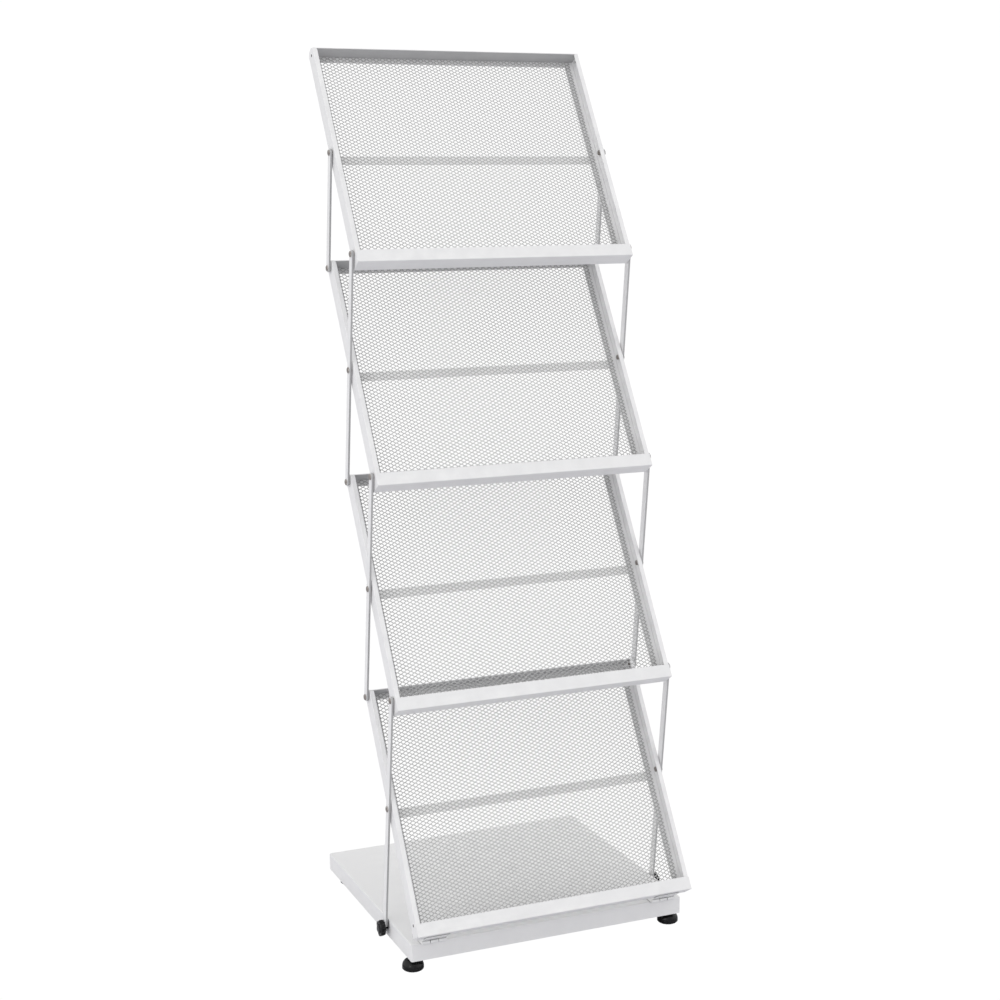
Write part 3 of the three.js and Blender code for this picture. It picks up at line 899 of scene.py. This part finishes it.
peelSet = {"swellDetail": 1.0, "swellRough": 0.4, "blend": 0.7, "pimpleShare": 0.6}


def makeOrangePeel(use):  # slow swell and fine pimples of a sprayed powder coat
    tree, takes, gives = startGroup("orangePeel", [("Swell", number, 220), ("Pimples", number, 900)],
                                    [("Height", number), ("Speck", number)])
    swell = texture(tree, "ShaderNodeTexNoise", takes["Swell"], Detail=use["swellDetail"],
                    Roughness=use["swellRough"])["Fac"]
    speck = texture(tree, "ShaderNodeTexVoronoi", takes["Pimples"], feature="SMOOTH_F1",
                    Smoothness=use["blend"])["Distance"]
    feed(tree, gives["Height"], sums(tree, "MULTIPLY_ADD", speck, use["pimpleShare"], swell))
    feed(tree, gives["Speck"], speck)


driftSet = {"broadDetail": 3.0, "broadRough": 0.55, "broadShare": 0.75,
            "fineScale": 160.0, "fineDetail": 2.0, "fineShare": 0.3}


def makeToneDrift(use):  # broad, faint change of tone between two colours
    tree, takes, gives = startGroup("toneDrift", [("Light", colour, (1, 1, 1, 1)),
                                                  ("Deep", colour, (0.9, 0.9, 0.9, 1)), ("Size", number, 6)],
                                    [("Tone", colour), ("Drift", number)])
    broad = texture(tree, "ShaderNodeTexNoise", takes["Size"], Detail=use["broadDetail"],
                    Roughness=use["broadRough"])["Fac"]
    fine = texture(tree, "ShaderNodeTexNoise", use["fineScale"], Detail=use["fineDetail"])["Fac"]
    both = sums(tree, "MULTIPLY_ADD", fine, use["fineShare"], sums(tree, "MULTIPLY", broad, use["broadShare"]),
                clamp=True)
    feed(tree, gives["Tone"], mixed(tree, both, takes["Light"], takes["Deep"]))
    feed(tree, gives["Drift"], both)


rubSet = {"convex": 0.52, "breakDetail": 3.0, "breakEnds": (0.35, 0.65)}


def makeEdgeRub(use):  # mask along convex edges, broken up by noise
    tree, takes, gives = startGroup("edgeRub", [("Width", number, 0.03), ("Breaks", number, 60)], [("Mask", number)])
    point = addNode(tree, "ShaderNodeNewGeometry").outputs["Pointiness"]
    over = spread(tree, point, (use["convex"], sums(tree, "ADD", takes["Width"], use["convex"])))
    breaks = texture(tree, "ShaderNodeTexNoise", takes["Breaks"], Detail=use["breakDetail"])["Fac"]
    feed(tree, gives["Mask"], sums(tree, "MULTIPLY", over, spread(tree, breaks, use["breakEnds"]), clamp=True))


creaseSet = {"samples": 6, "openEnds": (0.20, 0.75)}


def makeCreaseShade(name, alone, use):  # painted shade, darker deep in corners and gaps
    tree, takes, gives = startGroup(name, [("Reach", number, 0.006), ("Colour", colour, (1, 1, 1, 1)),
                                           ("Depth", colour, (0.3, 0.3, 0.3, 1))], [("Tone", colour)])
    openness = addNode(tree, "ShaderNodeAmbientOcclusion", samples=use["samples"], only_local=alone)
    feed(tree, openness.inputs["Distance"], takes["Reach"])
    share = spread(tree, openness.outputs["AO"], use["openEnds"])
    feed(tree, gives["Tone"], mixed(tree, share, takes["Depth"], takes["Colour"]))


makeOrangePeel(peelSet)
makeToneDrift(driftSet)
makeEdgeRub(rubSet)
makeCreaseShade("creaseShade", True, creaseSet)
makeCreaseShade("gapShade", False, creaseSet)


def startFinish(name):
    finish = bpy.data.materials.new(name)
    finish.use_nodes = True
    tree = finish.node_tree
    return finish, tree, tree.nodes["Principled BSDF"].inputs


def useGroup(tree, name, **values):
    made = tree.nodes.new("ShaderNodeGroup")
    made.node_tree = groups[name]
    for key, value in values.items():
        feed(tree, made.inputs[key], value)
    return made.outputs


def opaque(tone):
    return (*tone, 1)


def wornTone(tree, look):  # rubbed along the edges
    tone = useGroup(tree, "toneDrift", Light=opaque(look["light"]), Deep=opaque(look["deep"]), Size=look["driftSize"])
    rub = useGroup(tree, "edgeRub", Width=look["rubWide"], Breaks=look["rubBreaks"])
    return {"Tone": mixed(tree, rub["Mask"], tone["Tone"], opaque(look["rub"])), "Drift": tone["Drift"]}


def surface(tree, shader, look, speck, height):  # roughness and bump
    feed(tree, shader["Roughness"], spread(tree, speck, toEnds=look["rough"]))
    strength, distance = look["bump"]
    bump = addNode(tree, "ShaderNodeBump", Strength=strength, Distance=distance)
    feed(tree, bump.inputs["Height"], height)
    feed(tree, shader["Normal"], bump.outputs["Normal"])


# powder coat on the sheet pieces, the mesh and the hinges: masked is the tone of masked faces (painted shade on the
# white coat), crease is how far off a corner or a gap the painted shade starts, and depth its darkest tone
everyCoat = {"driftSize": 7, "rubWide": 0.06, "rubBreaks": 45}
coatLook = {
    "white_coat": {
        **everyCoat, "light": (0.83, 0.829, 0.832), "deep": (0.815, 0.814, 0.818), "rub": (0.88, 0.88, 0.88),
        "rough": (0.36, 0.46), "bump": (0.10, 0.0002), "swell": 240, "pimples": 850,
        "group": "creaseShade", "crease": 0.0035, "depth": (0.52, 0.52, 0.525), "masked": (0.07, 0.07, 0.07),
    },
    # the mesh is set far darker than the rails' white coat: painted shade on and between its strands
    "coated_mesh": {
        **everyCoat, "light": (0.46, 0.46, 0.458), "deep": (0.44, 0.44, 0.439), "rub": (0.50, 0.50, 0.497),
        "rough": (0.40, 0.52), "bump": (0.12, 0.0002), "swell": 400, "pimples": 1300, "masked": (0.88, 0.88, 0.876),
    },
    # painted shade in the gaps between the knuckles and leaves
    "coated_hinge": {
        **everyCoat, "light": (0.85, 0.85, 0.85), "deep": (0.82, 0.82, 0.822), "rub": (0.86, 0.86, 0.86),
        "rough": (0.38, 0.50), "bump": (0.12, 0.0002), "swell": 300, "pimples": 1000,
        "group": "gapShade", "crease": 0.004, "depth": (0.10, 0.10, 0.105),
    },
}
barLook = {**coatLook["white_coat"], "narrowEdgeTone": (0.44, 0.44, 0.445)}
# painted shade in the gap where the lowest tray meets the base
seamShadeLook = {**coatLook["white_coat"], "group": "gapShade", "crease": 0.007, "depth": (0.16, 0.16, 0.17)}


def makeCoat(name, look):
    finish, tree, shader = startFinish(name)
    tone = wornTone(tree, look)["Tone"]
    peel = useGroup(tree, "orangePeel", Swell=look["swell"], Pimples=look["pimples"])
    if "masked" in look:
        mask = addNode(tree, "ShaderNodeAttribute", attribute_name="toneMask")
        tone = mixed(tree, mask.outputs["Fac"], tone, opaque(look["masked"]))
    if "narrowEdgeTone" in look:  # darker tone on the narrow edges of bars
        parts = addNode(tree, "ShaderNodeSeparateXYZ")
        feed(tree, parts.inputs[0], addNode(tree, "ShaderNodeTexCoord").outputs["Normal"])
        tone = mixed(tree, sums(tree, "ABSOLUTE", parts.outputs["X"]), opaque(look["narrowEdgeTone"]), tone)
    if "crease" in look:
        shade = useGroup(tree, look["group"], Reach=look["crease"], Depth=opaque(look["depth"]), Colour=tone)
        tone = shade["Tone"]
    feed(tree, shader["Base Color"], tone)
    surface(tree, shader, look, peel["Speck"], peel["Height"])
    return finish


steelLook = {
    "light": (0.36, 0.33, 0.31), "deep": (0.20, 0.17, 0.155), "driftSize": 180, "metal": 0.9,
    "rub": (0.55, 0.53, 0.51), "rubWide": 0.05, "rubBreaks": 300, "rough": (0.30, 0.48), "bump": (0.15, 0.0001),
}


def makeSteel(name, look):
    finish, tree, shader = startFinish(name)
    worn = wornTone(tree, look)
    feed(tree, shader["Base Color"], worn["Tone"])
    shader["Metallic"].default_value = look["metal"]
    surface(tree, shader, look, worn["Drift"], worn["Drift"])
    return finish


plasticLook = {
    "light": (0.010, 0.010, 0.011), "deep": (0.006, 0.006, 0.0065), "driftSize": 60, "shine": 0.25,
    "rub": (0.025, 0.025, 0.026), "rubWide": 0.08, "rubBreaks": 200, "rough": (0.10, 0.18), "bump": (0.12, 0.0001),
    "swell": 700, "pimples": 2600,
}


def makePlastic(name, look):
    finish, tree, shader = startFinish(name)
    peel = useGroup(tree, "orangePeel", Swell=look["swell"], Pimples=look["pimples"])
    feed(tree, shader["Base Color"], wornTone(tree, look)["Tone"])
    shader["Specular IOR Level"].default_value = look["shine"]
    surface(tree, shader, look, peel["Speck"], peel["Height"])
    return finish


def dress(piece, finish):
    piece.data.materials.clear()
    piece.data.materials.append(finish)


finishes = {name: makeCoat(name, look) for name, look in coatLook.items()}
barCoat = makeCoat("white_coat_bar", barLook)
seamShadeCoat = makeCoat("white_coat_seam_shade", seamShadeLook)
finishes["rivet_steel"] = makeSteel("rivet_steel", steelLook)
finishes["black_plastic"] = makePlastic("black_plastic", plasticLook)
seamShadePieces = ("base_tray", "shelf_4_front_lip")  # painted shade where the lowest tray meets the base
slotOf = {part["node"]: part["material_slot"] for part in frame["record"]["subparts"]}
for name, piece in pieces.items():
    if name.startswith("link"):
        dress(piece, barCoat)
    elif name in seamShadePieces:
        dress(piece, seamShadeCoat)
    else:
        dress(piece, finishes[slotOf[name]])
for name, cad in frame["nodes"].items():
    dress(cad, finishes[slotOf[name]])
print("finishes on", len(pieces), "pieces")

# floor, light and camera
studio = {
    "floorSize": 40, "floorColour": (0.67, 0.668, 0.70), "floorRough": 0.9, "white": 1.02,
    "glow": {  # soft light by the side that it comes from
        "above": ((0, 0, 1), 0.57), "front": ((0, -1, 0), 0.39), "back": ((0, 1, 0), 0.18),
        "left": ((-1, 0, 0), 1.15), "right": ((1, 0, 0), 1.18),
    },
    "lights": [("keyLight", (-2.8, -2.2, 1.0), 0.3, 6)],  # name, place, size and power
    "aim": (0, 0, 0.6),
}
letGo()
bpy.ops.mesh.primitive_plane_add(size=studio["floorSize"], location=(0, 0, 0))
floor = bpy.context.active_object
floor.name = "studioFloor"
finish, tree, shader = startFinish("studioFloor")
shader["Roughness"].default_value = studio["floorRough"]
shader["Specular IOR Level"].default_value = 0
shader["Emission Color"].default_value = opaque((studio["white"],) * 3)
seen = addNode(tree, "ShaderNodeLightPath").outputs["Is Camera Ray"]
feed(tree, shader["Emission Strength"], seen)  # reads white in the picture, but doesn't light the rack
feed(tree, shader["Base Color"], mixed(tree, seen, opaque(studio["floorColour"]), (0, 0, 0, 1)))
floor.data.materials.append(finish)

world = bpy.data.worlds.new("studioWorld")
bpy.context.scene.world = world
world.use_nodes = True
sky = world.node_tree
back = sky.nodes["Background"].inputs
back["Strength"].default_value = 1
around = addNode(sky, "ShaderNodeTexCoord").outputs["Generated"]
total = 0
for axis, strength in studio["glow"].values():
    towards = addNode(sky, "ShaderNodeVectorMath", operation="DOT_PRODUCT")
    feed(sky, towards.inputs[0], around)
    feed(sky, towards.inputs[1], axis)
    lit = sums(sky, "MAXIMUM", towards.outputs["Value"], 0)
    total = sums(sky, "MULTIPLY_ADD", lit, strength, total)
shown = addNode(sky, "ShaderNodeMix", data_type="FLOAT")
feed(sky, shown.inputs["Factor"], addNode(sky, "ShaderNodeLightPath").outputs["Is Camera Ray"])
feed(sky, shown.inputs["A"], total)
feed(sky, shown.inputs["B"], studio["white"])
feed(sky, back["Color"], shown.outputs["Result"])

for name, position, size, power in studio["lights"]:
    lamp = bpy.data.lights.new(name, "AREA")
    lamp.shape = "DISK"
    lamp.size = size
    lamp.energy = power
    light = bpy.data.objects.new(name, lamp)
    bpy.context.scene.collection.objects.link(light)
    light.location = position
    light.rotation_euler = (Vector(studio["aim"]) - Vector(position)).to_track_quat("-Z", "Y").to_euler()

cameraSet = {
    "place": (-1.0233, -2.4317, 1.1168), "yaw": 22.82, "pitch": -10.01, "roll": -0.45,
    "focal": 1766.65, "frame": 1000, "sensor": 36, "clip": (0.05, 100),  # focal and frame in pixels
}
yaw, pitch, roll = (math.radians(cameraSet[key]) for key in ("yaw", "pitch", "roll"))
ahead = Vector((math.sin(yaw) * math.cos(pitch), math.cos(yaw) * math.cos(pitch), math.sin(pitch)))
level = Vector((math.cos(yaw), -math.sin(yaw), 0))
upright = level.cross(ahead)
across = level * math.cos(roll) + upright * math.sin(roll)
upward = upright * math.cos(roll) - level * math.sin(roll)
lens = bpy.data.cameras.new("photoCamera")
lens.sensor_width = cameraSet["sensor"]
lens.lens = cameraSet["focal"] / cameraSet["frame"] * cameraSet["sensor"]
lens.clip_start, lens.clip_end = cameraSet["clip"]
camera = bpy.data.objects.new("photoCamera", lens)
bpy.context.scene.collection.objects.link(camera)
turn = Matrix((across, upward, -ahead)).transposed().to_4x4()
camera.matrix_world = Matrix.Translation(Vector(cameraSet["place"])) @ turn
bpy.context.scene.camera = camera
bpy.context.scene.view_settings.view_transform = "Standard"
print("studio set")
